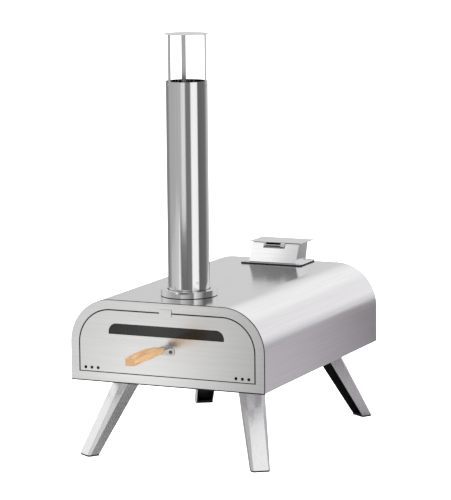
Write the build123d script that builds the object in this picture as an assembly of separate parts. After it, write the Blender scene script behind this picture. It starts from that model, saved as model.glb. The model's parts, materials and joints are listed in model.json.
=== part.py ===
from build123d import *
from math import acos, atan2, cos, radians, sin, tan
import os

# A wood fired pizza oven: a steel D-shaped body on four folding legs, with a chimney at the front,
# a fuel hopper over a burner tray at the back, a pizza stone inside and a lift-out door.
#
# Millimetres, +Z up, the door towards -Y; "right" is +X, the right-hand side seen from the door.
# Everything is drawn with the floor at z = 0 and the front face at y = 0, then moved along Y so
# that the origin is the middle of the whole object's footprint.

# Sheet metal and clearances
SHEET = 1.2
THIN_SHEET = 1.0
SLIP = 0.3  # between pieces that move past each other
TOUCH = 0.2  # between pieces that sit next to each other
PIN_PLAY = 0.05  # radial clearance of a turning pin

# Body: a D-shaped section, square at the bottom and round at the shoulders
HALF_WIDTH = 200
BOTTOM = 152
TOP = 309
SHOULDER = 85
DEPTH = 575
FRAME_BORDER = 18
FRAME_SHEET = 1.5
FRAME_INSET = 0.8  # the black edge seal shows round the frame by this much
SEAL = 1.2
SEAL_DROP = 1.8
SHELL_FRONT = FRAME_SHEET + SEAL
DOOR_RECESS = 16
DOOR_STOP = 6

# Cooking chamber
LINER_GAP = 22
FLOOR_TOP = 176.2
LINER_START = DOOR_RECESS + FRAME_SHEET + 0.4
LINER_BACK = 560
STONE_SIZE = 330
STONE_THICKNESS = 10
STONE_FRONT = 40
STONE_BOTTOM = 184.4
STONE_CORNER = 10
RAIL_X = 140
BAFFLE_Y = 388
BAFFLE_TOP = 216

# Door
DOOR_GAP = 2
DOOR_SILL_GAP = 0.8
DOOR_DEPTH = 12
TAB_WIDTH = 25
TAB_LAP = 6
WINDOW_HALF = 119
WINDOW_BOTTOM = 244
WINDOW_TOP = 264.5
WINDOW_CORNER = 16
GLASS_MARGIN = 8
GLASS_THICKNESS = 3
GLASS_FRAME_NEAR = SHEET + GLASS_THICKNESS + 2 * TOUCH
AIR_HOLE_X = (142.5, 155.5, 168.5)
AIR_HOLE_Z = 177
AIR_HOLE_RADIUS = 3

# Door handle
FRONT_REACH = 152
GRIP_START = 28
GRIP_WIDTH = 20.5
GRIP_LOW = 217.5
GRIP_HIGH = 232
GRIP_THIN_LOW = 219.5
GRIP_THIN_HIGH = 230.5
GRIP_CREST = (-66, 234.3)  # the highest part of its top
GRIP_SCREW_Y = (-44, -64)
GRIP_SCREW_SEAT = 221
TONGUE_TOP = 226
TONGUE_HALF = 8
TONGUE_LENGTH = 76
PLATE_HALF = 18
PLATE_BOTTOM = 211
PLATE_CORNER = 6
RIVET_X = 10
RIVET_Z = 217.5

# Chimney
CHIMNEY_Y = 105
PIPE_RADIUS = 39.5
PIPE_WALL = 0.9
PIPE_BOTTOM = TOP + SLIP
PIPE_TOP = 715.5
SPIGOT_RADIUS = PIPE_RADIUS - PIPE_WALL - SLIP
SPIGOT_TOP = 345
COLLAR_RADIUS = 53.8
COLLAR_TOP = 321.6
COLLAR_GAP = 1.6
COLLAR_SEAL = 1
CAP_RADIUS = 42
CAP_BOTTOM = 803.2
STRAP_WIDTH = 8.5
STRAP_ANGLES = (6, 123, 236)
STRAP_LAP = 14
PIPE_SCREW_ANGLE = -40
PIPE_SCREW_Z = 337

# Fuel hopper at the back of the top
FLANGE_HALF = 67
FLANGE_FRONT = 495
FLANGE_BACK = 574.5
FLANGE_CORNER = 6
GASKET = 2.2
FLANGE_BOTTOM = TOP + GASKET
FLANGE_TOP = FLANGE_BOTTOM + SHEET
CHUTE_BASE = (51.3, 506, 560)  # half width, front, back at the flange
CHUTE_MOUTH = (51.5, 525.5, 571)  # the same at the mouth
CHUTE_TOP = 349.7
CHUTE_FRONT_TOP = 348.6
THROAT = (48.5, 508, 555)
THROAT_BOTTOM = 283
LID_UNDER = 350
LID_HALF = 57.5
LID_FRONT = 524.5
LID_BACK = 589.5
LID_CORNER = 3
HINGE_Y = 525.4
HINGE_Z = 344.6
HINGE_PIN_RADIUS = 1.5
NOTCH_LEFT = -26
NOTCH_RIGHT = 21.6
NOTCH_BOTTOM = 338.9
KNUCKLES = ((-25.6, -21.6, 3.2), (12, 21, 5.2))  # from x, to x, outer radius
LUGS = ((-31, -27), (22.6, 26.6))

# Burner tray at the back
TRAY_HALF = 56
TRAY_FRONT = 424
TRAY_BOTTOM = 160.6
TRAY_TOP = 207
HOUSING_HALF = 58.4
HOUSING_FRONT = 418
HOUSING_FLOOR = 158.6
HOUSING_TOP = 214
GRATE_Z = 170
TRAY_FACE_HALF = 70
TRAY_FACE_LOW = 155
TRAY_FACE_HIGH = 223
PULL_REACH = 40
PULL_RADIUS = 9.5
PULL_HALF = 30
PULL_Z = 188
TRAY_SCREW_X = 40
TRAY_AIR_LOW = 165.5
TRAY_AIR_HIGH = 190

# Folding legs: a channel with a flat web, a folded corner on each side of it and two flanges
FOOT_X = 179
FOOT_FRONT = 25
FOOT_BACK = 554
LEG_YAW = 56.7  # from the X axis
LEG_LEAN = 30
FOOT_HALF = 12
WEB_HALF = 14.3
CORNER_FOOT = 3.4  # the folded corner's size at the floor
CORNER_GROWTH = 0.042  # and its growth with height
LEG_BEND = 2
FOOT_PAD = 3
LEG_TOP = 150.4
LEG_PIN = (-89.5, 136)  # along the lean and up, from the foot's centre
LEG_PIN_RADIUS = 3
LEG_EYE = 12.5
LINING_TOP = 118
EAR_RADIUS = 9
EAR_HALF = 18.5
BRACKET_SHEET = 1.5

REAR_REACH = PULL_REACH + PULL_RADIUS
FACE_Y = (FRONT_REACH - DEPTH - REAR_REACH) / 2

LEGS = {
    "front_right": (FOOT_X, FOOT_FRONT, -LEG_YAW),
    "front_left": (-FOOT_X, FOOT_FRONT, LEG_YAW - 180),
    "rear_right": (FOOT_X, FOOT_BACK, LEG_YAW),
    "rear_left": (-FOOT_X, FOOT_BACK, 180 - LEG_YAW),
}


# Shapes that repeat


def save(node, shape):
    """Writes a sub-part, of one solid or several, in the finished object's frame."""
    placed = [Pos(0, FACE_Y, 0) * solid for solid in shape.solids()]
    export_step(placed[0] if len(placed) == 1 else Compound(children=placed), f"parts/{node}.step")


def block(x, y, z):
    """A box between two values along each axis."""
    size = Box(x[1] - x[0], y[1] - y[0], z[1] - z[0])
    return Pos((x[0] + x[1]) / 2, (y[0] + y[1]) / 2, (z[0] + z[1]) / 2) * size


def rod(start, end, radius):
    """A round bar between two points."""
    axis = Vector(*end) - Vector(*start)
    plane = Plane(origin=Vector(*start), z_dir=axis)
    return extrude(plane * Circle(radius), amount=axis.length)


def d_outline(half, low, high, radius):
    """The oven's section in x and z: square below and round at the shoulders."""
    outline = Pos(0, (low + high) / 2) * Rectangle(2 * half, high - low)
    return fillet(outline.vertices().group_by(Axis.Y)[-1], radius)


def rounded(x, y, radius):
    """A rectangle between two values along each axis, with round corners."""
    outline = RectangleRounded(x[1] - x[0], y[1] - y[0], radius)
    return Pos((x[0] + x[1]) / 2, (y[0] + y[1]) / 2) * outline


def across(outline, near, far):
    """An outline in x and z made solid between two depths."""
    return Pos(0, far, 0) * extrude(Plane.XZ * outline, amount=far - near)


def inset_d(inset, low_inset=None):
    """The body's section moved inwards by a distance."""
    low = inset if low_inset is None else low_inset
    return d_outline(HALF_WIDTH - inset, BOTTOM + low, TOP - inset, SHOULDER - inset)


def tube(radius, wall, low, high):
    """An upright pipe on the Z axis."""
    ring = Circle(radius) - Circle(radius - wall)
    return Pos(0, 0, low) * extrude(ring, amount=high - low)


def screw(seat, direction, length, head, shank, head_height=1.4):
    """A button-headed screw: its head stands out of the seat and its shank goes in."""
    out = Vector(*direction)
    top = Vector(*seat) + out * head_height
    tip = Vector(*seat) - out * length
    body = rod(tuple(seat), tuple(top), head)
    rim = body.edges().filter_by(GeomType.CIRCLE).sort_by(Axis(tuple(seat), tuple(out)))[-1]
    return fillet(rim, head_height * 0.6) + rod(tuple(tip), tuple(seat), shank)


def group(pieces):
    """Several separate solids in one node."""
    return Compound(children=list(pieces))


# Casing


def outer_shell():
    wrap = across(inset_d(0), SHELL_FRONT, DEPTH - SHEET)
    wrap -= across(inset_d(SHEET, -5), 0, DEPTH)
    wrap -= Pos(0, CHIMNEY_Y, TOP - 5) * extrude(Circle(PIPE_RADIUS - 1), amount=10)
    return wrap - throat_block(0.5, TOP - 5, TOP + 5)


def front_frame():
    opening = inset_d(FRAME_BORDER, FRAME_BORDER - 0.5)
    frame = across(inset_d(FRAME_INSET) - opening, 0, FRAME_SHEET)
    rim = inset_d(FRAME_BORDER - SHEET, FRAME_BORDER - 0.5 - SHEET)
    frame += across(rim - opening, FRAME_SHEET, DOOR_RECESS)
    stop = inset_d(FRAME_BORDER + DOOR_STOP, FRAME_BORDER + DOOR_STOP - 2)
    return frame + across(rim - stop, DOOR_RECESS, DOOR_RECESS + SHEET)


def front_gasket():
    """The black seal between the frame and the casing, a little deeper along the bottom."""
    seal = inset_d(0.1, -SEAL_DROP) - inset_d(FRAME_BORDER / 2)
    return across(seal, FRAME_SHEET, SHELL_FRONT)


def rear_panel():
    panel = across(inset_d(0), DEPTH - SHEET, DEPTH)
    mouth = block((-HOUSING_HALF, HOUSING_HALF), (DEPTH - 5, DEPTH + 5), (HOUSING_FLOOR, HOUSING_TOP))
    return panel - mouth


def bottom_pan():
    edge = HALF_WIDTH - SHEET - TOUCH
    depth = (SHELL_FRONT + TOUCH, DEPTH - SHEET - TOUCH)
    pan = block((-edge, edge), depth, (BOTTOM, BOTTOM + SHEET))
    for side in (-1, 1):
        flange = block((edge - SHEET, edge), depth, (BOTTOM, BOTTOM + 14))
        pan += flange if side > 0 else mirror(flange, Plane.YZ)
    for place in leg_places():
        pan -= place * bracket_holes()
    return pan


# Cooking chamber


def liner_outline(inset):
    return inset_d(LINER_GAP + inset, FLOOR_TOP - BOTTOM + TOUCH)


def inner_liner():
    wrap = across(liner_outline(0), LINER_START, LINER_BACK)
    wrap -= across(inset_d(LINER_GAP + THIN_SHEET, 0), LINER_START - 5, LINER_BACK - THIN_SHEET)
    wrap -= Pos(0, CHIMNEY_Y, TOP - 40) * extrude(Circle(SPIGOT_RADIUS + TOUCH), amount=30)
    wrap -= throat_block(0.5, TOP - 30, TOP - 10)
    outer = HOUSING_HALF + SHEET + TOUCH
    return wrap - block((-outer, outer), (LINER_BACK - 5, LINER_BACK + 5), (BOTTOM, HOUSING_TOP + TOUCH))


def insulation_blanket():
    blanket = across(inset_d(SHEET + 1, LINER_GAP + 4), LINER_START + 2, DEPTH - SHEET - 2)
    blanket -= across(inset_d(LINER_GAP - 1, 0), 0, DEPTH)
    blanket -= Pos(0, CHIMNEY_Y, TOP - 30) * extrude(Circle(PIPE_RADIUS + 2), amount=40)
    return blanket - throat_block(2, TOP - 40, TOP + 5)


def chamber_floor():
    edge = HALF_WIDTH - 4
    depth = (LINER_START, LINER_BACK)
    tray = block((-edge, edge), depth, (FLOOR_TOP - SHEET, FLOOR_TOP))
    for side in (-1, 1):
        wall = block((edge - SHEET, edge), depth, (BOTTOM + SHEET + TOUCH, FLOOR_TOP))
        tray += wall if side > 0 else mirror(wall, Plane.YZ)
    hole = HOUSING_HALF + SHEET + TOUCH
    return tray - block((-hole, hole), (HOUSING_FRONT - 2, DEPTH), (BOTTOM, TOP))


def stone_rail(side):
    """A Z-shaped rail that carries one side of the stone."""
    high = STONE_BOTTOM - TOUCH - FLOOR_TOP
    outline = Polyline(
        (-10, 0), (SHEET, 0), (SHEET, high - SHEET), (12, high - SHEET),
        (12, high), (0, high), (0, SHEET), (-10, SHEET), close=True,
    )
    rail = across(Pos(RAIL_X, FLOOR_TOP) * make_face(outline), STONE_FRONT, STONE_FRONT + STONE_SIZE)
    return rail if side > 0 else mirror(rail, Plane.YZ)


def pizza_stone():
    slab = rounded((-STONE_SIZE / 2, STONE_SIZE / 2), (STONE_FRONT, STONE_FRONT + STONE_SIZE), STONE_CORNER)
    stone = Pos(0, 0, STONE_BOTTOM) * extrude(slab, amount=STONE_THICKNESS)
    return chamfer(stone.faces().sort_by(Axis.Z)[-1].edges(), 1)


def flame_baffle():
    """An upright plate between the fire and the stone, with a foot and a lip leaning over the fire."""
    wall = block((-165, 165), (BAFFLE_Y, BAFFLE_Y + SHEET), (FLOOR_TOP, BAFFLE_TOP))
    foot = block((-165, 165), (BAFFLE_Y, BAFFLE_Y + 16), (FLOOR_TOP, FLOOR_TOP + SHEET))
    lip = block((-165, 165), (BAFFLE_Y - 8, BAFFLE_Y + SHEET), (BAFFLE_TOP - SHEET, BAFFLE_TOP))
    return wall + foot + lip


# Burner


def air_row(near, far, z):
    """A row of air holes through something standing between two depths."""
    return [rod((column * 14, near, z), (column * 14, far, z), 3) for column in range(-3, 4)]


def tray_screw_holes():
    xs = (-TRAY_SCREW_X, TRAY_SCREW_X)
    return [rod((x, DEPTH - 4, PULL_Z), (x, DEPTH + 9, PULL_Z), 1.6) for x in xs]


def burner_housing():
    """The open-topped sleeve that the burner tray slides into."""
    edge = HOUSING_HALF + SHEET
    depth = (HOUSING_FRONT, DEPTH - SHEET - TOUCH)
    sleeve = block((-edge, edge), depth, (HOUSING_FLOOR - SHEET, HOUSING_TOP))
    inside = (HOUSING_FRONT + SHEET, DEPTH)
    sleeve -= block((-HOUSING_HALF, HOUSING_HALF), inside, (HOUSING_FLOOR, TOP))
    return sleeve - air_row(HOUSING_FRONT - 2, HOUSING_FRONT + 4, TRAY_AIR_HIGH)


def tray_box():
    depth = (TRAY_FRONT, DEPTH + SLIP)
    box = block((-TRAY_HALF, TRAY_HALF), depth, (TRAY_BOTTOM, TRAY_TOP))
    box -= block(
        (SHEET - TRAY_HALF, TRAY_HALF - SHEET), (TRAY_FRONT + SHEET, DEPTH + SLIP - SHEET),
        (TRAY_BOTTOM + SHEET, TOP),
    )
    inside = TRAY_HALF - SHEET
    ledge = block((inside - 4, inside), (TRAY_FRONT + SHEET, 566), (GRATE_Z - SHEET, GRATE_Z))
    box += ledge + mirror(ledge, Plane.YZ)
    box -= air_row(TRAY_FRONT - 2, TRAY_FRONT + 4, TRAY_AIR_HIGH)
    box -= air_row(DEPTH - 4, DEPTH + 4, TRAY_AIR_LOW)
    return box - tray_screw_holes()


def fire_grate():
    grate = block((-54.4, 54.4), (TRAY_FRONT + 2, 566), (GRATE_Z + 0.1, GRATE_Z + 0.1 + SHEET))
    for row in range(9):
        slot = Pos(0, TRAY_FRONT + 14 + 14 * row, GRATE_Z - 2) * extrude(SlotOverall(84, 5), amount=6)
        grate -= slot
    return grate


def tray_face():
    near = DEPTH + SLIP
    plate = across(
        rounded((-TRAY_FACE_HALF, TRAY_FACE_HALF), (TRAY_FACE_LOW, TRAY_FACE_HIGH), 5),
        near, near + FRAME_SHEET,
    )
    return plate - tray_screw_holes() - air_row(DEPTH - 4, DEPTH + 4, TRAY_AIR_LOW)


def tray_pull_bracket():
    """A U-shaped strap whose arms hold the wooden pull between them."""
    near = DEPTH + SLIP + FRAME_SHEET
    low, high = PULL_Z - 7, PULL_Z + 7
    strap = block((-47, 47), (near, near + SHEET), (low, high))
    arm = block((PULL_HALF + TOUCH, PULL_HALF + TOUCH + SHEET), (near, DEPTH + PULL_REACH), (low, high))
    centre = DEPTH + PULL_REACH
    arm += rod((PULL_HALF + TOUCH, centre, PULL_Z), (PULL_HALF + TOUCH + SHEET, centre, PULL_Z), 7)
    arm -= rod((PULL_HALF - 2, centre, PULL_Z), (PULL_HALF + 5, centre, PULL_Z), 1.6)
    return strap + arm + mirror(arm, Plane.YZ) - tray_screw_holes()


def tray_pull():
    centre = DEPTH + PULL_REACH
    grip = rod((-PULL_HALF, centre, PULL_Z), (PULL_HALF, centre, PULL_Z), PULL_RADIUS)
    grip = fillet(grip.edges().filter_by(GeomType.CIRCLE), 2.5)
    for side in (-1, 1):
        start = (side * (PULL_HALF + 1), DEPTH + PULL_REACH, PULL_Z)
        grip -= rod(start, (side * (PULL_HALF - 15), DEPTH + PULL_REACH, PULL_Z), 1.55)
    return grip


def tray_screws():
    near = DEPTH + SLIP + FRAME_SHEET + SHEET
    face = [screw((side * TRAY_SCREW_X, near, PULL_Z), (0, 1, 0), 5, 3.2, 1.5) for side in (-1, 1)]
    arm = PULL_HALF + TOUCH + SHEET
    ends = [screw((side * arm, DEPTH + PULL_REACH, PULL_Z), (side, 0, 0), 13, 3.2, 1.5) for side in (-1, 1)]
    return group(face + ends)


# Door


def window_outline():
    middle = (WINDOW_BOTTOM + WINDOW_TOP) / 2
    outline = Pos(0, middle) * Rectangle(2 * WINDOW_HALF, WINDOW_TOP - WINDOW_BOTTOM)
    return fillet(outline.vertices().group_by(Axis.Y)[-1], WINDOW_CORNER)


def door_outline(inset):
    half = HALF_WIDTH - FRAME_BORDER - DOOR_GAP - inset
    low = BOTTOM + FRAME_BORDER - 0.5 + DOOR_SILL_GAP + inset
    high = TOP - FRAME_BORDER - DOOR_GAP - inset
    return d_outline(half, low, high, SHOULDER - FRAME_BORDER - DOOR_GAP - inset)


def air_holes(near, far):
    xs = [side * x for side in (-1, 1) for x in AIR_HOLE_X]
    return [rod((x, near, AIR_HOLE_Z), (x, far, AIR_HOLE_Z), AIR_HOLE_RADIUS) for x in xs]


def door_panel():
    """The door's face with its folded edge, and the tab that laps over the frame."""
    panel = across(door_outline(0) - window_outline(), 0, SHEET)
    panel += across(door_outline(0) - door_outline(SHEET), SHEET, DOOR_DEPTH)
    edge = TOP - FRAME_BORDER - DOOR_GAP
    half = TAB_WIDTH / 2
    panel += block((-half, half), (-FRAME_SHEET, 0), (edge - TAB_LAP, edge))
    panel += block((-half, half), (-FRAME_SHEET, -SLIP), (edge - TAB_LAP, edge + DOOR_GAP + TAB_LAP))
    panel -= air_holes(-2, 5)
    for side in (-1, 1):
        panel -= rod((side * RIVET_X, -2, RIVET_Z), (side * RIVET_X, 2, RIVET_Z), 2.05)
    return panel


def door_liner():
    """The flat plate that closes the back of the door."""
    plate = across(door_outline(SHEET + TOUCH), DOOR_DEPTH - SHEET, DOOR_DEPTH)
    plate -= across(window_outline(), DOOR_DEPTH - 5, DOOR_DEPTH + 5)
    return plate - air_holes(DOOR_DEPTH - 5, DOOR_DEPTH + 5)


def door_glass():
    half = WINDOW_HALF + GLASS_MARGIN
    outline = rounded((-half, half), (WINDOW_BOTTOM - GLASS_MARGIN, WINDOW_TOP + GLASS_MARGIN), 3)
    near = SHEET + TOUCH
    return across(outline, near, near + GLASS_THICKNESS)


def glass_frame_corners():
    x = WINDOW_HALF + GLASS_MARGIN + 5
    middle = (WINDOW_BOTTOM + WINDOW_TOP) / 2
    return [(side * x, middle + rise) for side in (-1, 1) for rise in (-12, 12)]


def glass_frame():
    """Holds the glass against the back of the door's face, on four spacers."""
    half = WINDOW_HALF + GLASS_MARGIN + 10
    margin = GLASS_MARGIN + 2
    outline = rounded((-half, half), (WINDOW_BOTTOM - margin, WINDOW_TOP + margin), 4)
    near = GLASS_FRAME_NEAR
    frame = across(outline - window_outline(), near, near + SHEET)
    for x, z in glass_frame_corners():
        frame += rod((x, SHEET + TOUCH / 2, z), (x, near + SHEET / 2, z), 2.6)
        frame -= rod((x, SHEET, z), (x, near + 5, z), 1.25)
    return frame


def glass_frame_screws():
    seat = GLASS_FRAME_NEAR + SHEET
    length = seat - SHEET - TOUCH
    return group(screw((x, seat, z), (0, 1, 0), length, 2.4, 1.2, 1.2) for x, z in glass_frame_corners())


def door_handle_bracket():
    """A folded plate: riveted to the door, with a tongue that goes into the grip."""
    outline = Pos(0, (PLATE_BOTTOM + TONGUE_TOP) / 2) * Rectangle(2 * PLATE_HALF, TONGUE_TOP - PLATE_BOTTOM)
    outline = fillet(outline.vertices(), PLATE_CORNER)
    plate = across(outline, -SHEET, 0)
    tongue = block((-TONGUE_HALF, TONGUE_HALF), (-TONGUE_LENGTH, 0), (TONGUE_TOP - SHEET, TONGUE_TOP))
    width = PLATE_HALF - PLATE_CORNER
    shoulder = block((-width, width), (-4, 0), (TONGUE_TOP - SHEET, TONGUE_TOP))
    bracket = plate + tongue + shoulder
    for side in (-1, 1):
        bracket -= rod((side * RIVET_X, -2, RIVET_Z), (side * RIVET_X, 2, RIVET_Z), 2.05)
    for y in GRIP_SCREW_Y:
        bracket -= rod((0, y, GRIP_LOW), (0, y, GRIP_HIGH), 1.6)
    return bracket


def door_rivets():
    rivets = []
    for side in (-1, 1):
        x = side * RIVET_X
        rivet = screw((x, -SHEET, RIVET_Z), (0, -1, 0), 2 * SHEET, 3.4, 2)
        rivets.append(rivet + rod((x, SHEET, RIVET_Z), (x, SHEET + 1, RIVET_Z), 3))
    return group(rivets)


def door_grip():
    """A wooden bar with a slightly arched top, and a mortise for the tongue."""
    near, far = (-GRIP_START, GRIP_THIN_HIGH), (-FRONT_REACH, GRIP_HIGH)
    top = ThreePointArc(near, GRIP_CREST, far)
    rest = Polyline(far, (-FRONT_REACH, GRIP_LOW), (-GRIP_START, GRIP_THIN_LOW), near)
    side = make_face([top.edges(), rest.edges()])
    bar = extrude(Plane.YZ * side, amount=GRIP_WIDTH / 2, both=True)
    bar = fillet(bar.edges(), 2.2)
    slot = TONGUE_HALF + SLIP
    bar -= block((-slot, slot), (-TONGUE_LENGTH - 1, 0), (TONGUE_TOP - SHEET - SLIP, TONGUE_TOP + SLIP))
    for y in GRIP_SCREW_Y:
        bar -= rod((0, y, GRIP_LOW - 5), (0, y, GRIP_SCREW_SEAT), 3.4)
        bar -= rod((0, y, GRIP_SCREW_SEAT), (0, y, GRIP_THIN_HIGH - 1), 1.55)
    return bar


def grip_screws():
    return group(screw((0, y, GRIP_SCREW_SEAT), (0, 0, -1), 8, 3.2, 1.5) for y in GRIP_SCREW_Y)


# Chimney


def chimney_collar():
    """A pressed ring round the foot of the pipe, standing on its seal."""
    hole = PIPE_RADIUS + COLLAR_GAP
    low = TOP + COLLAR_SEAL
    ring = tube(COLLAR_RADIUS, SHEET, low, COLLAR_TOP)
    ring += tube(hole + SHEET, SHEET, low, COLLAR_TOP)
    ring += tube(COLLAR_RADIUS, COLLAR_RADIUS - hole, COLLAR_TOP - SHEET, COLLAR_TOP)
    return Pos(0, CHIMNEY_Y, 0) * ring


def collar_gasket():
    outer = COLLAR_RADIUS - TOUCH
    return Pos(0, CHIMNEY_Y, 0) * tube(outer, outer - PIPE_RADIUS - COLLAR_GAP, TOP, TOP + COLLAR_SEAL)


def flue_spigot():
    """The short pipe that the chimney stands over, flanged under the chamber's roof."""
    roof = TOP - LINER_GAP - THIN_SHEET
    spigot = tube(SPIGOT_RADIUS, THIN_SHEET, roof - SHEET - TOUCH, SPIGOT_TOP)
    flange = tube(SPIGOT_RADIUS + 10, 11, roof - SHEET - TOUCH, roof - TOUCH)
    return Pos(0, CHIMNEY_Y, 0) * (spigot + flange)


def pipe_screw_ray(reach):
    angle = radians(PIPE_SCREW_ANGLE)
    return (reach * cos(angle), CHIMNEY_Y + reach * sin(angle), PIPE_SCREW_Z)


def strap_rivet_line(angle, reach):
    turn = radians(angle)
    return (reach * cos(turn), CHIMNEY_Y + reach * sin(turn), PIPE_TOP - STRAP_LAP / 2)


def strap_rivet_hole(angle):
    ends = [strap_rivet_line(angle, PIPE_RADIUS + step) for step in (-6, 4)]
    return rod(*ends, 1.55)


def chimney_pipe():
    pipe = Pos(0, CHIMNEY_Y, 0) * tube(PIPE_RADIUS, PIPE_WALL, PIPE_BOTTOM, PIPE_TOP)
    pipe -= rod(pipe_screw_ray(PIPE_RADIUS - 4), pipe_screw_ray(PIPE_RADIUS + 4), 1.55)
    for angle in STRAP_ANGLES:
        pipe -= strap_rivet_hole(angle)
    return pipe


def pipe_screw():
    angle = radians(PIPE_SCREW_ANGLE)
    return screw(pipe_screw_ray(PIPE_RADIUS), (cos(angle), sin(angle), 0), PIPE_WALL, 2.6, 1.5, 1.2)


def chimney_cap():
    """A shallow disc with a small rolled rim."""
    disc = Pos(0, 0, CAP_BOTTOM) * extrude(Circle(CAP_RADIUS), amount=SHEET)
    disc = fillet(disc.edges().filter_by(GeomType.CIRCLE), 0.5)
    return Pos(0, CHIMNEY_Y, 0) * disc


def cap_strap(angle):
    """A strap riveted inside the pipe, folded under the cap at its top."""
    outer = PIPE_RADIUS - PIPE_WALL - 0.6
    low = PIPE_TOP - STRAP_LAP
    high = CAP_BOTTOM - TOUCH / 2
    half = STRAP_WIDTH / 2
    strap = block((outer - THIN_SHEET, outer), (-half, half), (low, high))
    fold = block((outer - 12, outer), (-half, half), (high - THIN_SHEET, high))
    strap = Pos(0, CHIMNEY_Y, 0) * Rot(0, 0, angle) * (strap + fold)
    return strap - strap_rivet_hole(angle)


def cap_rivets():
    rivets = []
    for angle in STRAP_ANGLES:
        turn = radians(angle)
        seat = strap_rivet_line(angle, PIPE_RADIUS)
        rivets.append(screw(seat, (cos(turn), sin(turn), 0), PIPE_WALL + 1.8, 2.6, 1.5, 0.9))
    return group(rivets)


# Hopper


def throat_block(play, low, high):
    half, front, back = THROAT
    return block((-half - play, half + play), (front - play, back + play), (low, high))


def chute_rectangle(size, inset, z):
    half, front, back = size
    outline = Rectangle(2 * (half - inset), back - front - 2 * inset)
    return Pos(0, (front + back) / 2, z) * outline


def hopper_gasket():
    inset = 0.4
    outline = rounded(
        (inset - FLANGE_HALF, FLANGE_HALF - inset), (FLANGE_FRONT + inset, FLANGE_BACK - inset),
        FLANGE_CORNER,
    )
    gasket = Pos(0, 0, TOP) * extrude(outline, amount=GASKET)
    for place in flange_screw_places():
        gasket -= place * extrude(Circle(1.9), amount=10, both=True)
    return gasket - throat_block(0.5, TOP - 5, TOP + 10)


def flange_screw_places():
    return [Pos(side * 57.5, y, FLANGE_TOP) for side in (-1, 1) for y in (503, 566.5)]


def hopper_chute():
    """Flange, leaning chute and the throat below it, with a notch for the lid's hinge."""
    plate = rounded((-FLANGE_HALF, FLANGE_HALF), (FLANGE_FRONT, FLANGE_BACK), FLANGE_CORNER)
    chute = Pos(0, 0, FLANGE_BOTTOM) * extrude(plate, amount=SHEET)
    chute += loft([chute_rectangle(CHUTE_BASE, 0, FLANGE_TOP), chute_rectangle(CHUTE_MOUTH, 0, CHUTE_TOP)])
    chute += throat_block(0, THROAT_BOTTOM, FLANGE_TOP)
    low = chute_rectangle(CHUTE_BASE, SHEET, FLANGE_TOP)
    chute -= loft([low, chute_rectangle(CHUTE_MOUTH, SHEET, CHUTE_TOP)])
    chute -= throat_block(-SHEET, THROAT_BOTTOM - 1, FLANGE_TOP + 1)
    chute -= block((-LID_HALF, LID_HALF), (LID_FRONT - 5, HINGE_Y + 3.5), (CHUTE_FRONT_TOP, LID_UNDER))
    for low, high in LUGS:
        chute += block((low, high), (HINGE_Y - 1.5, HINGE_Y + 2.8), (HINGE_Z - 2.8, HINGE_Z + 2.6))
    chute -= block((NOTCH_LEFT, NOTCH_RIGHT), (HINGE_Y - 12, HINGE_Y + 4), (NOTCH_BOTTOM, LID_UNDER))
    ends = [(x, HINGE_Y, HINGE_Z) for x in (LUGS[0][0] + 1, LUGS[1][1] - 1)]
    chute -= rod(*ends, HINGE_PIN_RADIUS + 0.02)
    for place in flange_screw_places():
        chute -= place * extrude(Circle(1.55), amount=10, both=True)
    return chute


def hopper_hinge_pin():
    return rod((LUGS[0][0] + 1, HINGE_Y, HINGE_Z), (LUGS[1][1] - 1, HINGE_Y, HINGE_Z), HINGE_PIN_RADIUS)


def hopper_screws():
    seats = [tuple(place.position) for place in flange_screw_places()]
    return group(screw(seat, (0, 0, 1), GASKET + SHEET - TOUCH, 2.6, 1.5, 1) for seat in seats)


def hopper_lid():
    """A flat lid with two curled knuckles on its front edge."""
    plate = rounded((-LID_HALF, LID_HALF), (LID_FRONT, LID_BACK), LID_CORNER)
    lid = Pos(0, 0, LID_UNDER) * extrude(plate, amount=SHEET)
    for start, end, radius in KNUCKLES:
        lid += rod((start, HINGE_Y, HINGE_Z), (end, HINGE_Y, HINGE_Z), radius)
        lid += block((start, end), (HINGE_Y - 0.9, HINGE_Y + 0.9), (HINGE_Z, LID_UNDER + SHEET / 2))
        lid -= rod((start - 1, HINGE_Y, HINGE_Z), (end + 1, HINGE_Y, HINGE_Z), HINGE_PIN_RADIUS + PIN_PLAY)
    return lid


# Legs, each drawn with x along its lean, y along its hinge pin and the foot's centre at the origin


def leg_places():
    return [Pos(x, y, 0) * Rot(0, 0, yaw) for x, y, yaw in LEGS.values()]


def web_at(z):
    return FOOT_HALF - z * tan(radians(LEG_LEAN))


def side_outline():
    """The leg from the side: narrow at the foot, wide at the top, round about its pin."""
    pin_x, pin_z = LEG_PIN
    heel = (-FOOT_HALF - FOOT_PAD * tan(radians(LEG_LEAN)), FOOT_PAD)
    reach = Vector(heel[0] - pin_x, heel[1] - pin_z)
    turn = atan2(reach.Y, reach.X) - acos(LEG_EYE / reach.length)
    middle = (turn + radians(-270)) / 2
    tangent = (pin_x + LEG_EYE * cos(turn), pin_z + LEG_EYE * sin(turn))
    crown = (pin_x, pin_z + LEG_EYE)
    arc = ThreePointArc(crown, (pin_x + LEG_EYE * cos(middle), pin_z + LEG_EYE * sin(middle)), tangent)
    lines = Polyline(heel, (web_at(FOOT_PAD), FOOT_PAD), (web_at(LEG_TOP), LEG_TOP), crown)
    return make_face([lines.edges(), arc.edges(), Line(tangent, heel).edges()])


def level_outline(z, wall, reach=130):
    """The channel's level section at a height, moved in by a wall thickness, filled to its open side."""
    corner = CORNER_FOOT + CORNER_GROWTH * z
    web = web_at(z) - wall / cos(radians(LEG_LEAN))
    narrow = WEB_HALF - 0.4 * wall
    wide = WEB_HALF + corner - wall
    bend = web_at(z) - corner - wall / cos(radians(LEG_LEAN)) * 0.4
    points = [(web, narrow), (bend, wide), (web - reach, wide)]
    return make_face(Polyline(*points, *[(x, -y) for x, y in reversed(points)], close=True))


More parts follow.
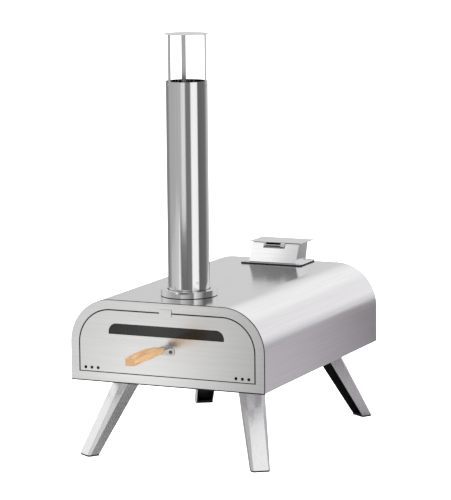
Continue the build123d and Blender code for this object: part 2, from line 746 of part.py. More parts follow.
def channel_block(wall):
    """A solid block with the channel's shape, from below the floor to above the leg."""
    low, high = -10, 170
    return loft([Pos(0, 0, z) * level_outline(z, wall) for z in (low, high)], ruled=True)


def leg_half(z):
    """Half the leg's width at a height."""
    return WEB_HALF + CORNER_FOOT + CORNER_GROWTH * z


def leg_channel():
    """The steel leg: the blank cut to its side view, with softened bends."""
    blank = channel_block(0)
    slope = Vector(-sin(radians(LEG_LEAN)), 0, cos(radians(LEG_LEAN)))
    bends = [edge for edge in blank.edges() if edge.length > 150 and edge.tangent_at(0.5).dot(slope) ** 2 > 0.97]
    blank = fillet(bends, LEG_BEND)
    side = extrude(Plane.XZ * side_outline(), amount=60, both=True)
    leg = (blank & side) - channel_block(SHEET)
    x, z = LEG_PIN
    return leg - rod((x, -40, z), (x, 40, z), LEG_PIN_RADIUS + PIN_PLAY)


def leg_foot():
    """The black plastic foot: a pad under the leg and a lining that runs up inside the channel."""
    wall = SHEET + 0.1
    side = extrude(Plane.XZ * side_outline(), amount=60, both=True)
    lining = (channel_block(wall) & side) - channel_block(wall + SHEET)
    lining &= block((-200, 50), (-60, 60), (0, LINING_TOP))
    back = -FOOT_HALF - FOOT_PAD * tan(radians(LEG_LEAN)) + 0.4
    sole = level_outline(FOOT_PAD, 0.4) & (Pos(back + 50, 0) * Rectangle(100, 100))
    pad = extrude(sole, amount=FOOT_PAD - 0.05)
    width = leg_half(0) - wall - 1
    floor = block((-FOOT_HALF, 2), (-width, width), (0, FOOT_PAD + 1.5))
    return lining + pad + floor


def bracket_holes():
    x = LEG_PIN[0]
    holes = [rod((x + step, 0, 148), (x + step, 0, 156), 2.2) for step in (-9, 9)]
    return holes[0] + holes[1]


def leg_bracket():
    """A clevis under the oven: a base plate and two ears for the leg's pin."""
    x, z = LEG_PIN
    bracket = block((x - 15, x + 14), (-EAR_HALF, EAR_HALF), (BOTTOM - BRACKET_SHEET, BOTTOM))
    outline = Pos(x, (z + BOTTOM) / 2) * Rectangle(2 * EAR_RADIUS, BOTTOM - z)
    outline += Pos(x, z) * Circle(EAR_RADIUS)
    for side in (-1, 1):
        ear = across(outline, EAR_HALF - BRACKET_SHEET, EAR_HALF)
        bracket += ear if side > 0 else mirror(ear, Plane.XZ)
    bracket -= rod((x, -EAR_HALF - 5, z), (x, EAR_HALF + 5, z), LEG_PIN_RADIUS + 0.02)
    return bracket - bracket_holes()


def leg_pin():
    x, z = LEG_PIN
    end = leg_half(z + 5) + SLIP
    pin = rod((x, -end, z), (x, end, z), LEG_PIN_RADIUS)
    for side in (-1, 1):
        head = rod((x, side * end, z), (x, side * (end + 1.5), z), 5)
        rim = head.edges().filter_by(GeomType.CIRCLE).sort_by(Axis.Y)[-1 if side > 0 else 0]
        pin += fillet(rim, 0.9)
    return pin


def bracket_screws():
    x = LEG_PIN[0]
    seat = BOTTOM - BRACKET_SHEET
    screws = []
    for place in leg_places():
        for step in (-9, 9):
            screws.append(place * screw((x + step, 0, seat), (0, 0, -1), 5, 3.6, 2))
    return group(screws)


os.makedirs("parts", exist_ok=True)

save("outer_shell", outer_shell())
save("front_frame", front_frame())
save("front_gasket", front_gasket())
save("rear_panel", rear_panel())
save("bottom_pan", bottom_pan())
save("inner_liner", inner_liner())
save("insulation_blanket", insulation_blanket())
save("chamber_floor", chamber_floor())
save("stone_rail_right", stone_rail(1))
save("stone_rail_left", stone_rail(-1))
save("pizza_stone", pizza_stone())
save("flame_baffle", flame_baffle())
save("burner_housing", burner_housing())
save("tray_box", tray_box())
save("fire_grate", fire_grate())
save("tray_face", tray_face())
save("tray_pull_bracket", tray_pull_bracket())
save("tray_pull", tray_pull())
save("tray_screws", tray_screws())
save("door_panel", door_panel())
save("door_liner", door_liner())
save("door_glass", door_glass())
save("glass_frame", glass_frame())
save("glass_frame_screws", glass_frame_screws())
save("door_handle_bracket", door_handle_bracket())
save("door_rivets", door_rivets())
save("door_grip", door_grip())
save("grip_screws", grip_screws())
save("chimney_collar", chimney_collar())
save("collar_gasket", collar_gasket())
save("flue_spigot", flue_spigot())
save("chimney_pipe", chimney_pipe())
save("pipe_screw", pipe_screw())
save("chimney_cap", chimney_cap())
for number, angle in enumerate(STRAP_ANGLES, 1):
    save(f"cap_strap_{number}", cap_strap(angle))
save("cap_rivets", cap_rivets())
save("hopper_gasket", hopper_gasket())
save("hopper_chute", hopper_chute())
save("hopper_hinge_pin", hopper_hinge_pin())
save("hopper_screws", hopper_screws())
save("hopper_lid", hopper_lid())
for name, place in zip(LEGS, leg_places()):
    save(f"leg_{name}", place * leg_channel())
    save(f"foot_{name}", place * leg_foot())
    save(f"leg_bracket_{name}", place * leg_bracket())
    save(f"leg_pin_{name}", place * leg_pin())
save("bracket_screws", bracket_screws())
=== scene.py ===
import json
import math

import bmesh
import bpy
from mathutils import Matrix, Vector


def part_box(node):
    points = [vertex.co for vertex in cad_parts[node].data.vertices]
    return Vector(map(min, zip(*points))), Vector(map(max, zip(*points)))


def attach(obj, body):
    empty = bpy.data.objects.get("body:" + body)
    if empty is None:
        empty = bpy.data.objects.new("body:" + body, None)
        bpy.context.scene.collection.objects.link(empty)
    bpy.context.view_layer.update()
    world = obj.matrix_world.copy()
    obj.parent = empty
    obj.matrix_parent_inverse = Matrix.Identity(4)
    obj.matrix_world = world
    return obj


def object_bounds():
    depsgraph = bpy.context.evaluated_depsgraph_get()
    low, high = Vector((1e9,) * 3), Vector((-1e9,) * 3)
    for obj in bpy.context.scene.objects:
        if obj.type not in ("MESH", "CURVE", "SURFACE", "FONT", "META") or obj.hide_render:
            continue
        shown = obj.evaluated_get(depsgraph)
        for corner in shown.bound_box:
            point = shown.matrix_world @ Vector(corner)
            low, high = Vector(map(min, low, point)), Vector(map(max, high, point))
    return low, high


# The camera: a long lens, a little above the oven and to its right
CAMERA_AT = Vector((2.0939, -4.6115, 1.1472))
CAMERA_PAN = 24.241
CAMERA_PITCH = 8.66
CAMERA_ROLL = -0.537
CAMERA_LENS = 190.37

# How far its view runs to the side for each metre that it runs back
SLANT = math.tan(math.radians(CAMERA_PAN))

# Steel patterns, as (repeats per metre across the brushing, along it), and the scratches' tilt
BRUSHING = (2600, 28)
BANDS = (260, 5)
SCRATCHES = (700, 9)
SCRATCH_TILT = (0.05, 0.04, 0.06)

# Wood patterns, as (repeats per metre across the grain, along it)
FIGURE = (90, 7)
RINGS = (210, 6)
PORES = (2200, 60)
STREAKS = (420, 14)

# The door's edge in the CAD model: how far its tab stands above it, and its shoulders' radius
TAB_RISE = 0.008
DOOR_SHOULDER = 0.065

# The door gap's black strip, painted shade that darkens the gap round the door: its section, as (away from
# the door's edge, behind the oven's face), and the part of its width that fits along the sill, where the
# gap is narrower
GAP_SHADE_LIP = (
    (-0.0003, -0.00005), (-0.0003, -0.0001), (0.0010, -0.00018), (0.0022, -0.0001), (0.0022, -0.00005),
)
GAP_SHADE_STEM = ((0.00185, -0.00005), (0.00185, 0.0080), (0.0001, 0.0080), (0.0001, -0.00005))
SILL_LIP = 0.7
SILL_STEM = 0.4

# The pipe seam's section, as (along the pipe's wall, out from it)
SEAM = (
    (-0.0045, -0.0002), (-0.0040, 0.0005), (-0.0012, 0.0009), (0.0030, 0.0009), (0.0038, 0.0005),
    (0.0042, -0.0002),
)
SEAM_END = 0.002
SEAM_ROWS = 40

# The studio's grey levels round the horizon, as (degrees to the right of the way back to the camera,
# level): below the horizon, just above it, and higher up
BELOW = (
    (-180, 0.68), (-168, 0.45), (-150, 0.28), (-128, 0.30), (-112, 0.52), (-60, 0.56), (-36, 0.58),
    (-31, 0.95), (-13, 0.98), (-7, 0.24), (17, 0.24), (23, 1.25), (56, 1.25), (62, 0.16), (112, 0.20),
    (124, 0.42), (134, 0.66), (150, 0.70), (180, 0.68),
)
LILAC_STRIP = (1.04, 1.02, 1.05)
ABOVE = (
    (-180, 0.72), (-168, 0.60), (-150, 0.60), (-128, 1.0), (-112, 1.0), (-60, 0.56), (-36, 0.58),
    (-31, 0.95), (17, 0.24), (23, 1.25), (62, 0.16), (105, 0.25), (118, LILAC_STRIP), (145, LILAC_STRIP),
    (160, 0.76), (180, 0.72),
)
HIGHER = (
    (-180, 1.05), (-130, 1.35), (-112, 1.25), (-100, 0.6), (-60, 0.60), (0, 1.15), (60, 1.1), (120, 0.7),
    (150, 1.15), (180, 1.05),
)
DIFFUSER = (1.15, 1.15, 1.15, 1.0)

# Where one band gives way to the next, as heights on the unit sphere
TO_ABOVE = (-0.05, 0.13)
TO_HIGHER = (0.25, 0.38)
TO_DIFFUSER = (0.60, 0.80)

# A dark flag high on the left of the studio: its direction, how far its core and its soft edge reach
# from there, all in degrees, and its shade
FLAG_AZIMUTH = -57
FLAG_HEIGHT = 68
FLAG_CORE = 17
FLAG_EDGE = 26
FLAG_SHADE = (0.22, 0.22, 0.22, 1.0)

# The card on the floor in front: its sides, and its light as (metres across the front, level)
FRONT_CARD_X = (-2.6, 0.8)
FRONT_CARD_Y = (-3.2, -0.5)
FRONT_LEVELS = (
    (-1.6, 0.7), (-0.30, 0.80), (-0.19, 0.88), (-0.12, 1.3), (-0.05, 1.75), (0.02, 0.90), (0.12, 0.78),
    (0.19, 0.45), (0.5, 0.2),
)

# The card on the floor to the right: how far it is from the body, its ends there, its length, and its
# light as (metres along the side, level)
SIDE_CARD_GAP = 0.01
SIDE_CARD_ENDS = (-0.45, 0.85)
SIDE_CARD_LENGTH = 12
SIDE_LEVELS = (
    (-0.6, 0.62), (-0.30, 0.62), (0.0, 0.56), (0.15, 0.46), (0.35, 0.38), (0.45, 0.26), (0.9, 0.24),
)
SIDE_TINT = (1.0, 0.95, 1.01)

# The card that the hopper's front mirrors: azimuth and height in degrees, distance, sides, and level
HOPPER_CARD_WAY = (-57, 41)
HOPPER_CARD_DISTANCE = 0.9
HOPPER_CARD_X = (-0.045, 0.30)
HOPPER_CARD_Y = (-0.2, 0.16)
HOPPER_LEVEL = 1.3

# The floor's half size, and how far it lies under the feet
FLOOR_REACH = 40
FLOOR_DROP = 0.0005

# Area lights: (name, place from the oven's middle, diameter, watts)
LIGHTS = (
    ("key", (-1.6, -2.2, 2.4), 1.8, 60),
    ("fill", (2.2, -1.4, 1.4), 1.6, 22),
    ("top", (0.2, 0.6, 2.6), 2.2, 30),
)


# Node helpers


def new_material(name):
    """An empty Principled material: (material, its tree, its shader)."""
    material = bpy.data.materials.new(name)
    material.use_nodes = True
    tree = material.node_tree
    return material, tree, tree.nodes["Principled BSDF"]


def add(tree, kind, inputs=None, **settings):
    """A new node with its settings, and its sockets set or linked by name or number."""
    node = tree.nodes.new(kind)
    for key, value in settings.items():
        setattr(node, key, value)
    for key, value in (inputs or {}).items():
        if isinstance(value, bpy.types.NodeSocket):
            tree.links.new(value, node.inputs[key])
        else:
            node.inputs[key].default_value = value
    return node


def place(tree, scale, turn=(0, 0, 0)):
    """Object coordinates, stretched, so that a pattern can run along one direction."""
    coords = add(tree, "ShaderNodeTexCoord").outputs["Object"]
    mapping = add(tree, "ShaderNodeMapping", {"Vector": coords, "Scale": scale, "Rotation": turn})
    return mapping.outputs["Vector"]


def noise(tree, vector, detail=2.0, rough=0.5, warp=0.0):
    """A noise pattern, mostly between 0.3 and 0.7."""
    inputs = {"Vector": vector, "Scale": 1.0, "Detail": detail, "Roughness": rough, "Distortion": warp}
    return add(tree, "ShaderNodeTexNoise", inputs).outputs["Fac"]


def stretched(across, along, axis):
    """Scales that draw a pattern out along one axis."""
    return [along if index == axis else across for index in range(3)]


def remap(tree, value, low, high, start=0.3, end=0.7):
    """Runs from low to high while the value runs from start to end, as a noise does by default."""
    inputs = {"Value": value, "From Min": start, "From Max": end, "To Min": low, "To Max": high}
    return add(tree, "ShaderNodeMapRange", inputs).outputs["Result"]


def maths(tree, operation, a, b=0.0):
    """A sum on one or two values."""
    return add(tree, "ShaderNodeMath", {0: a, 1: b}, operation=operation).outputs[0]


def dot(tree, vector, axis):
    """How far a vector reaches along an axis."""
    return add(tree, "ShaderNodeVectorMath", {0: vector, 1: axis}, operation="DOT_PRODUCT").outputs["Value"]


def blend_colours(tree, share, a, b):
    """From the first colour to the second while the share runs from 0 to 1."""
    node = add(tree, "ShaderNodeMix", data_type="RGBA")
    for name, value in (("Factor_Float", share), ("A_Color", a), ("B_Color", b)):
        socket = next(each for each in node.inputs if each.identifier == name)
        if isinstance(value, bpy.types.NodeSocket):
            tree.links.new(value, socket)
        else:
            socket.default_value = value
    return next(each for each in node.outputs if each.identifier == "Result_Color")


def colour(red, green, blue):
    """An opaque colour."""
    return (red, green, blue, 1.0)


def ramp(tree, value, stops):
    """A colour ramp from (place, grey or colour) pairs."""
    node = add(tree, "ShaderNodeValToRGB", {"Fac": value})
    elements = node.color_ramp.elements
    while len(elements) < len(stops):
        elements.new(0.5)
    for element, (where, shade) in zip(elements, stops):
        element.position = where
        element.color = colour(*shade) if isinstance(shade, tuple) else colour(shade, shade, shade)
    return node.outputs["Color"]


def bump(tree, height, strength, distance):
    """A surface direction that follows a pattern's height."""
    inputs = {"Height": height, "Strength": strength, "Distance": distance}
    return add(tree, "ShaderNodeBump", inputs).outputs["Normal"]


# Materials


def steel_wear(tree, lines, smudge, grain, spread, scratch):
    """What brushing, smudges and a few hairline scratches add to the roughness."""
    hairs = noise(tree, place(tree, stretched(*SCRATCHES, grain), turn=SCRATCH_TILT), detail=1)
    brushed = remap(tree, lines, -spread, spread)
    smudged = remap(tree, smudge, -0.4 * spread, 0.6 * spread)
    scratched = maths(tree, "MULTIPLY", remap(tree, hairs, 0, 1, 0.70, 0.78), scratch)
    return maths(tree, "ADD", maths(tree, "ADD", brushed, smudged), scratched)


def steel_shade(tree, tint, smudge, grain, stain):
    """The tint with darker bands and smudges, and with a heat colour in patches if there is one."""
    banded, smudged = (colour(*(share * part for part in tint)) for share in (0.93, 0.97))
    bands = noise(tree, place(tree, stretched(*BANDS, grain)), detail=2)
    shade = blend_colours(tree, remap(tree, bands, 0, 1), banded, colour(*tint))
    shade = blend_colours(tree, remap(tree, smudge, 0, 0.5), shade, smudged)
    if stain:
        heat = noise(tree, place(tree, (14, 14, 14)), detail=3, warp=1.0)
        shade = blend_colours(tree, remap(tree, heat, 0, 0.8), shade, colour(*stain))
    return shade


def brushed_steel(name, tint, rough, grain, spread=0.05, scratch=0.15, stain=None, stretch=0.0):
    """Stainless steel with brushing marks along one axis; the stretch draws reflections out up and down."""
    material, tree, shader = new_material(name)
    lines = noise(tree, place(tree, stretched(*BRUSHING, grain)), detail=3)
    smudge = noise(tree, place(tree, (9, 9, 9)), detail=4, rough=0.6, warp=0.6)
    wear = steel_wear(tree, lines, smudge, grain, spread, scratch)
    tangent = add(tree, "ShaderNodeTangent", direction_type="RADIAL", axis="Z").outputs["Tangent"]
    tree.links.new(steel_shade(tree, tint, smudge, grain, stain), shader.inputs["Base Color"])
    tree.links.new(maths(tree, "ADD", wear, rough), shader.inputs["Roughness"])
    tree.links.new(tangent, shader.inputs["Tangent"])
    tree.links.new(bump(tree, lines, 0.12, 0.00004), shader.inputs["Normal"])
    shader.inputs["Metallic"].default_value = 1.0
    shader.inputs["Anisotropic"].default_value = stretch
    shader.inputs["Anisotropic Rotation"].default_value = 0.25
    return material


def pine(name, light, dark, grain):
    """Pale oiled wood: long grain along one axis, growth rings, small pores, streaks, and darker ends,
    partly real end grain and partly painted shade that tones down the key light on them.
    """
    material, tree, shader = new_material(name)
    light, dark = colour(*light), colour(*dark)
    pore, streak, end = colour(0.33, 0.18, 0.08), colour(0.27, 0.13, 0.05), colour(0.36, 0.21, 0.10)
    wavy = noise(tree, place(tree, stretched(*FIGURE, grain)), detail=4, rough=0.6, warp=0.8)
    rings = add(tree, "ShaderNodeTexWave", {
        "Vector": place(tree, stretched(*RINGS, grain)), "Scale": 0.55, "Distortion": 5.0, "Detail": 3.0,
        "Detail Scale": 0.8,
    }, wave_type="RINGS", rings_direction="Y").outputs["Fac"]
    pores = noise(tree, place(tree, stretched(*PORES, grain)), detail=2)
    streaks = noise(tree, place(tree, stretched(*STREAKS, grain)), detail=2, warp=0.4)
    face = add(tree, "ShaderNodeTexCoord").outputs["Normal"]
    end_faces_grain_and_shade = maths(tree, "ABSOLUTE", add(tree, "ShaderNodeSeparateXYZ", {"Vector": face}).outputs[grain])
    shade = blend_colours(tree, remap(tree, wavy, 0, 1, 0.35, 0.65), dark, light)
    shade = blend_colours(tree, maths(tree, "MULTIPLY", rings, 0.5), shade, dark)
    shade = blend_colours(tree, remap(tree, pores, 0.35, 0, 0.28, 0.42), shade, pore)
    shade = blend_colours(tree, remap(tree, streaks, 0, 0.75, 0.56, 0.68), shade, streak)
    # Darker end faces: real end grain, plus painted shade that tones down the light falling on them.
    shade = blend_colours(tree, remap(tree, end_faces_grain_and_shade, 0, 0.9, 0.6, 0.8), shade, end)
    tree.links.new(shade, shader.inputs["Base Color"])
    tree.links.new(remap(tree, wavy, 0.42, 0.58), shader.inputs["Roughness"])
    tree.links.new(bump(tree, pores, 0.25, 0.0002), shader.inputs["Normal"])
    return material


def smoked_glass(name):
    """Dark oven glass with a patchy haze of soot."""
    material, tree, shader = new_material(name)
    haze = noise(tree, place(tree, (18, 18, 60)), detail=4, warp=0.5)
    clean, sooty = colour(0.0045, 0.0043, 0.0043), colour(0.010, 0.0095, 0.009)
    shade = blend_colours(tree, remap(tree, haze, 0, 1), clean, sooty)
    tree.links.new(shade, shader.inputs["Base Color"])
    tree.links.new(remap(tree, haze, 0.06, 0.16), shader.inputs["Roughness"])
    shader.inputs["IOR"].default_value = 1.42
    return material


def black_plastic(name):
    """Black moulded plastic with a fine pebble and scuffed spots."""
    material, tree, shader = new_material(name)
    pebble = noise(tree, place(tree, (1500, 1500, 1500)), detail=2)
    scuff = noise(tree, place(tree, (70, 70, 160)), detail=4, rough=0.7)
    clean, scuffed = colour(0.005, 0.0045, 0.005), colour(0.012, 0.011, 0.012)
    shade = blend_colours(tree, remap(tree, scuff, 0, 1, 0.45, 0.75), clean, scuffed)
    tree.links.new(shade, shader.inputs["Base Color"])
    shader.inputs["Specular IOR Level"].default_value = 0.22
    tree.links.new(remap(tree, scuff, 0.5, 0.7), shader.inputs["Roughness"])
    tree.links.new(bump(tree, pebble, 0.3, 0.00015), shader.inputs["Normal"])
    return material


def black_rubber(name):
    """Matt black rubber with a woven face."""
    material, tree, shader = new_material(name)
    weave = noise(tree, place(tree, (900, 900, 900)), detail=3)
    deep, worn = colour(0.006, 0.006, 0.006), colour(0.016, 0.015, 0.015)
    shade = blend_colours(tree, remap(tree, weave, 0, 1), deep, worn)
    tree.links.new(shade, shader.inputs["Base Color"])
    shader.inputs["Specular IOR Level"].default_value = 0.25
    tree.links.new(remap(tree, weave, 0.7, 0.85), shader.inputs["Roughness"])
    tree.links.new(bump(tree, weave, 0.4, 0.0002), shader.inputs["Normal"])
    return material


def cordierite(name):
    """A pale baking stone: fine speckles, larger toasted patches and small pits."""
    material, tree, shader = new_material(name)
    speckle = noise(tree, place(tree, (700, 700, 700)), detail=3, rough=0.7)
    patch = noise(tree, place(tree, (11, 11, 11)), detail=5, warp=0.7)
    sand, pale, toasted = colour(0.36, 0.29, 0.21), colour(0.60, 0.52, 0.41), colour(0.20, 0.13, 0.08)
    shade = blend_colours(tree, remap(tree, speckle, 0, 1), sand, pale)
    shade = blend_colours(tree, remap(tree, patch, 0, 0.7, 0.5, 0.8), shade, toasted)
    tree.links.new(shade, shader.inputs["Base Color"])
    tree.links.new(remap(tree, speckle, 0.8, 0.95), shader.inputs["Roughness"])
    tree.links.new(bump(tree, speckle, 0.5, 0.0004), shader.inputs["Normal"])
    return material


def ceramic_wool(name):
    """Off-white insulation with loose fibres."""
    material, tree, shader = new_material(name)
    fibre = noise(tree, place(tree, (300, 60, 300)), detail=6, rough=0.7, warp=1.5)
    grey, white = colour(0.60, 0.58, 0.53), colour(0.85, 0.84, 0.80)
    shade = blend_colours(tree, remap(tree, fibre, 0, 1), grey, white)
    tree.links.new(shade, shader.inputs["Base Color"])
    tree.links.new(remap(tree, fibre, 0.85, 1.0), shader.inputs["Roughness"])
    tree.links.new(bump(tree, fibre, 0.8, 0.001), shader.inputs["Normal"])
    return material


def make_materials():
    """One material for each of the record's slots, and one for the handle's rivets, made near-black as
    painted shade of a recessed hole.
    """
    body, front, leg = (0.75, 0.745, 0.75), (0.78, 0.78, 0.775), (0.76, 0.755, 0.765)
    hopper, polished = (0.76, 0.76, 0.76), (0.72, 0.72, 0.725)
    tray, handle, rivet = (0.70, 0.70, 0.70), (0.52, 0.50, 0.48), (0.13, 0.12, 0.11)
    inner, heat = (0.40, 0.38, 0.36), (0.20, 0.13, 0.09)
    return {
        "body_steel": brushed_steel("Body_steel", body, 0.15, grain=1, spread=0.03, scratch=0.06),
        "front_steel": brushed_steel("Front_steel", front, 0.29, grain=0, spread=0.02, scratch=0.05),
        "inner_steel": brushed_steel("Inner_steel", inner, 0.38, grain=1, stain=heat),
        "chimney_steel": brushed_steel("Chimney_steel", polished, 0.09, grain=2, spread=0.03),
        "cap_steel": brushed_steel("Cap_steel", polished, 0.26, grain=0),
        "hopper_steel": brushed_steel("Hopper_steel", hopper, 0.13, grain=0, spread=0.03),
        "handle_steel": brushed_steel("Handle_steel", handle, 0.22, grain=2),
        "tray_steel": brushed_steel("Tray_steel", tray, 0.24, grain=0),
        "leg_steel": brushed_steel("Leg_steel", leg, 0.25, grain=2, spread=0.04, stretch=0.8),
        # The rivets' near-black is painted shade, standing for a dark recessed hole.
        "rivets": brushed_steel("Rivet_steel_painted_shade", rivet, 0.35, grain=2),
        "fixings": brushed_steel("Fixings_steel", tray, 0.20, grain=2, spread=0.03),
        "wood": pine("Handle_wood", (0.64, 0.43, 0.24), (0.44, 0.25, 0.11), grain=1),
        "dark_glass": smoked_glass("Smoked_glass"),
        "black_plastic": black_plastic("Black_plastic"),
        # The gasket rubber also colours the black strip in the door's gap, which is painted shade.
        "gasket": black_rubber("Gasket_rubber_and_gap_shade"),
        "blanket": ceramic_wool("Ceramic_wool"),
        "stone": cordierite("Cordierite"),
    }


def dress(materials):
    """Gives every CAD node its slot's material, and the handle's rivets their own near-black one, painted
    shade of a recess.
    """
    slots = {part["node"]: part["material_slot"] for part in frame["record"]["subparts"]}
    for node, piece in frame["nodes"].items():
        piece.data.materials.clear()
        piece.data.materials.append(materials["rivets" if node == "door_rivets" else slots[node]])


# Pieces added to the CAD model


def mesh_piece(name, rings, material, body, closed, smooth=True):
    """A skin over rings of points, closed on itself or capped at both ends, that rides on a body."""
    skin = bmesh.new()
    rings = [[skin.verts.new(point) for point in ring] for ring in rings]
    following = rings[1:] + rings[:1] if closed else rings[1:]
    for ring, other in zip(rings, following):
        for index in range(len(ring)):
            after = (index + 1) % len(ring)
            skin.faces.new((ring[index], ring[after], other[after], other[index]))
    if not closed:
        skin.faces.new(rings[0])
        skin.faces.new(rings[-1])
    bmesh.ops.recalc_face_normals(skin, faces=skin.faces)
    mesh = bpy.data.meshes.new(name)
    skin.to_mesh(mesh)
    skin.free()
    for polygon in mesh.polygons:
        polygon.use_smooth = smooth
    mesh.materials.append(material)
    piece = bpy.data.objects.new(name, mesh)
    bpy.context.scene.collection.objects.link(piece)
    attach(piece, body)


def d_path(half, low, high, radius, steps=24):
    """Points and outward directions round the oven's D-shaped section, in x and z."""
    path = []
    for side, start in ((1, 0), (-1, 90)):
        for step in range(steps + 1):
            angle = math.radians(start + 90 * step / steps)
            out = Vector((math.cos(angle), math.sin(angle)))
            path.append((Vector((side * (half - radius), high - radius)) + radius * out, out))
    left, right = Vector((-half, low)), Vector((half, low))
    path.append((left, Vector((-1, -1))))
    path.append((right, Vector((1, -1))))
    return path


def door_gap_painted_shade(material):
    """A soft black lip on the door that fills the gap round it and just laps over its edges: painted shade
    that darkens the gap.
    """
    low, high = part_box("door_panel")
    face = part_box("front_frame")[0].y
    rings = []
    for point, out in d_path(high.x, low.z, high.z - TAB_RISE, DOOR_SHOULDER):
        ring = []
        for part, fit in ((GAP_SHADE_LIP, SILL_LIP), (GAP_SHADE_STEM, SILL_STEM)):
            down = fit if out.y < 0 else 1.0
            for away, depth in part:
                spot = point + Vector((out.x, out.y * down)) * away
                ring.append((spot.x, face + depth, spot.y))
        rings.append(ring)
    mesh_piece("door_gap_painted_shade", rings, material, "door", closed=True)


def pipe_seam(material):
    """The folded seam down the back of the chimney pipe."""
    low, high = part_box("chimney_pipe")
    middle = (low + high) / 2
    radius = (high.x - low.x) / 2
    length = high.z - low.z - 2 * SEAM_END
    rings = []
    for row in range(SEAM_ROWS + 1):
        z = low.z + SEAM_END + length * row / SEAM_ROWS
        ring = []
        for side, rise in SEAM:
            angle = side / radius
            reach = radius + rise
            ring.append((middle.x + reach * math.sin(angle), middle.y + reach * math.cos(angle), z))
        rings.append(ring)
    mesh_piece("pipe_seam", rings, material, "chimney", closed=False, smooth=False)


# Studio


def toward(azimuth, height):
    """The direction at an azimuth, to the right of the way back to the camera, and a height, in degrees."""
    turn = math.radians(azimuth + CAMERA_PAN)
    rise = math.radians(height)
    return Vector((math.sin(turn) * math.cos(rise), -math.cos(turn) * math.cos(rise), math.sin(rise)))


def direction_ramp(tree, azimuth, stops):
    """Levels round the horizon, in degrees to the right of the way back to the camera."""
    return ramp(tree, azimuth, [((degrees + 180) / 360, level) for degrees, level in stops])


def make_world():
    """A soft studio for the steel: strips and flags round the horizon, and a bright diffuser above.

    The camera itself sees plain white.
    """
    world = bpy.data.worlds.new("Studio")
    bpy.context.scene.world = world
    world.use_nodes = True
    tree = world.node_tree
    background = tree.nodes["Background"]
    way = add(tree, "ShaderNodeTexCoord").outputs["Generated"]
    right, back = (dot(tree, way, toward(turn, 0)) for turn in (90, 0))
    azimuth = remap(tree, maths(tree, "ARCTAN2", right, back), 0, 1, -math.pi, math.pi)
    height = add(tree, "ShaderNodeSeparateXYZ", {"Vector": way}).outputs["Z"]
    below, above, higher = (direction_ramp(tree, azimuth, stops) for stops in (BELOW, ABOVE, HIGHER))
    sky = blend_colours(tree, remap(tree, height, 0, 1, *TO_ABOVE), below, above)
    sky = blend_colours(tree, remap(tree, height, 0, 1, *TO_HIGHER), sky, higher)
    sky = blend_colours(tree, remap(tree, height, 0, 1, *TO_DIFFUSER), sky, DIFFUSER)
    nearness = dot(tree, way, toward(FLAG_AZIMUTH, FLAG_HEIGHT))
    edge, core = (math.cos(math.radians(angle)) for angle in (FLAG_EDGE, FLAG_CORE))
    flag = remap(tree, nearness, 0, 1, edge, core)
    sky = blend_colours(tree, flag, sky, FLAG_SHADE)
    seen = add(tree, "ShaderNodeLightPath").outputs["Is Camera Ray"]
    sky = blend_colours(tree, seen, sky, colour(1, 1, 1))
    tree.links.new(sky, background.inputs["Color"])
    background.inputs["Strength"].default_value = 1.0


def glow(name, axis, stops, tint=(1, 1, 1)):
    """A card's light, which changes along an axis of the shared frame: (distance, level) pairs."""
    material = bpy.data.materials.new(name)
    material.use_nodes = True
    tree = material.node_tree
    tree.nodes.remove(tree.nodes["Principled BSDF"])
    coords = add(tree, "ShaderNodeTexCoord").outputs["Object"]
    start, end = stops[0][0], stops[-1][0]
    share = remap(tree, dot(tree, coords, axis), 0, 1, start, end)
    levels = ramp(tree, share, [((where - start) / (end - start), level) for where, level in stops])
    tinted = add(tree, "ShaderNodeVectorMath", {0: levels, 1: tint}, operation="MULTIPLY").outputs["Vector"]
    shine = add(tree, "ShaderNodeEmission", {"Color": tinted})
    tree.links.new(shine.outputs[0], tree.nodes["Material Output"].inputs["Surface"])
    return material


def rectangle(x, y, z):
    """Four corners at one height, between two values of x and two of y."""
    return [(x[0], y[0], z), (x[1], y[0], z), (x[1], y[1], z), (x[0], y[1], z)]


def flat_panel(name, corners, material):
    """A flat piece of the studio."""
    mesh = bpy.data.meshes.new(name)
    mesh.from_pydata(corners, [], [tuple(range(len(corners)))])
    panel = bpy.data.objects.new(name, mesh)
    bpy.context.scene.collection.objects.link(panel)
    mesh.materials.append(material)
    return panel


def make_floor():
    """A plain white floor that runs far beyond the view, so bright that no shadow shows on it."""
    material, tree, shader = new_material("Pale_floor")
    cloud = noise(tree, place(tree, (0.7, 0.7, 0.7)), detail=2)
    pale, paler = colour(0.93, 0.93, 0.93), colour(0.95, 0.95, 0.95)
    shade = blend_colours(tree, remap(tree, cloud, 0, 1), pale, paler)
    tree.links.new(shade, shader.inputs["Base Color"])
    shader.inputs["Roughness"].default_value = 1.0
    shader.inputs["Specular IOR Level"].default_value = 0.0
    shader.inputs["Emission Color"].default_value = colour(1, 1, 1)
    shader.inputs["Emission Strength"].default_value = 1.0
    reach = (-FLOOR_REACH, FLOOR_REACH)
    floor = flat_panel("floor", rectangle(reach, reach, -FLOOR_DROP), material)
    floor.visible_glossy = False


def card(name, corners, axis, stops, tint=(1, 1, 1)):
    """A lit card that only shows in the steel."""
    panel = flat_panel(name, corners, glow(name, axis, stops, tint))
    panel.visible_camera = False
    panel.visible_diffuse = False
    panel.visible_shadow = False


def shifted(levels, offset):
    """The same levels, measured from another place."""
    return [(where + offset, level) for where, level in levels]


def front_card():
    """A card on the floor in front, whose light the front frame and the door mirror.

    It changes along the axis that keeps one level for one upright line of the oven's front.
    """
    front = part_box("front_frame")[0].y
    corners = rectangle(FRONT_CARD_X, FRONT_CARD_Y, 0)
    card("front_card", corners, (1, -SLANT, 0), shifted(FRONT_LEVELS, -SLANT * front))


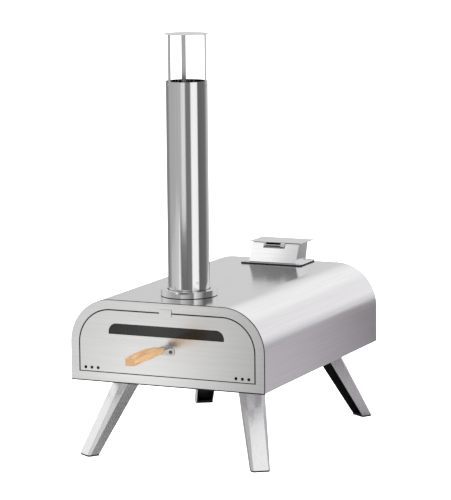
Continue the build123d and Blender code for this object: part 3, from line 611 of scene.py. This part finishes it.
def side_card():
    """A card on the floor to the right, drawn out along the way that the body's side mirrors.

    It changes along the axis that keeps one level for one upright line of the oven's side.
    """
    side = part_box("outer_shell")[1].x
    away = SIDE_CARD_LENGTH * Vector((SLANT, 1, 0))
    near, far = (Vector((side + SIDE_CARD_GAP, y, 0)) for y in SIDE_CARD_ENDS)
    corners = [near, near + away, far + away, far]
    card("right_card", corners, (-1 / SLANT, 1, 0), shifted(SIDE_LEVELS, -side / SLANT), SIDE_TINT)


def hopper_card():
    """A bright card high on the left, which the hopper's front mirrors."""
    low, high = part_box("hopper_chute")
    way = toward(*HOPPER_CARD_WAY)
    centre = (low + high) / 2 + HOPPER_CARD_DISTANCE * way
    across = way.cross(Vector((0, 0, 1))).normalized()
    up = across.cross(way)
    corners = [centre + across * x + up * y for x, y, _ in rectangle(HOPPER_CARD_X, HOPPER_CARD_Y, 0)]
    card("hopper_card", corners, (1, 0, 0), [(-1.0, HOPPER_LEVEL), (0.2, HOPPER_LEVEL)])


def area_light(name, at, aim, size, watts):
    """A round soft light that doesn't show in the steel."""
    lamp = bpy.data.lights.new(name, "AREA")
    lamp.shape = "DISK"
    lamp.size = size
    lamp.energy = watts
    light = bpy.data.objects.new(name, lamp)
    bpy.context.scene.collection.objects.link(light)
    light.location = at
    light.rotation_euler = (aim - at).to_track_quat("-Z", "Y").to_euler()
    light.visible_camera = False
    light.visible_glossy = False


def make_lights():
    """Soft lights round the oven, aimed at its middle."""
    centre = (cad_low + cad_high) / 2
    for name, offset, size, watts in LIGHTS:
        area_light(name, centre + Vector(offset), centre, size, watts)


def make_camera():
    """The camera, turned by its roll, pitch and pan."""
    data = bpy.data.cameras.new("camera")
    data.lens = CAMERA_LENS
    data.sensor_width = 36
    data.clip_start = 0.1
    data.clip_end = 120
    camera = bpy.data.objects.new("camera", data)
    bpy.context.scene.collection.objects.link(camera)
    turns = ((CAMERA_PAN, "Z"), (90 - CAMERA_PITCH, "X"), (CAMERA_ROLL, "Z"))
    pan, pitch, roll = (Matrix.Rotation(math.radians(angle), 4, axis) for angle, axis in turns)
    camera.matrix_world = Matrix.Translation(CAMERA_AT) @ pan @ pitch @ roll
    bpy.context.scene.camera = camera


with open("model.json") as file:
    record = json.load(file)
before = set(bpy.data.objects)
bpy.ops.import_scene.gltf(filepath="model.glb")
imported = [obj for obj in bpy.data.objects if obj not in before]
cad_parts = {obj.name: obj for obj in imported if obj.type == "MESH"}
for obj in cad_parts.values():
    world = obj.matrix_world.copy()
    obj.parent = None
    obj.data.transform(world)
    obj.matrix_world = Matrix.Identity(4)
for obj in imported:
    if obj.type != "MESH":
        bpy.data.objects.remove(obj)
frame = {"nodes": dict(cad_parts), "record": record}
cad_low, cad_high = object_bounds()
bpy.context.scene.view_settings.view_transform = "Standard"

materials = make_materials()
dress(materials)
# A black strip in the door's gap, as painted shade.
door_gap_painted_shade(materials["gasket"])
pipe_seam(materials["chimney_steel"])
make_world()
make_floor()
front_card()
side_card()
hopper_card()
make_lights()
make_camera()
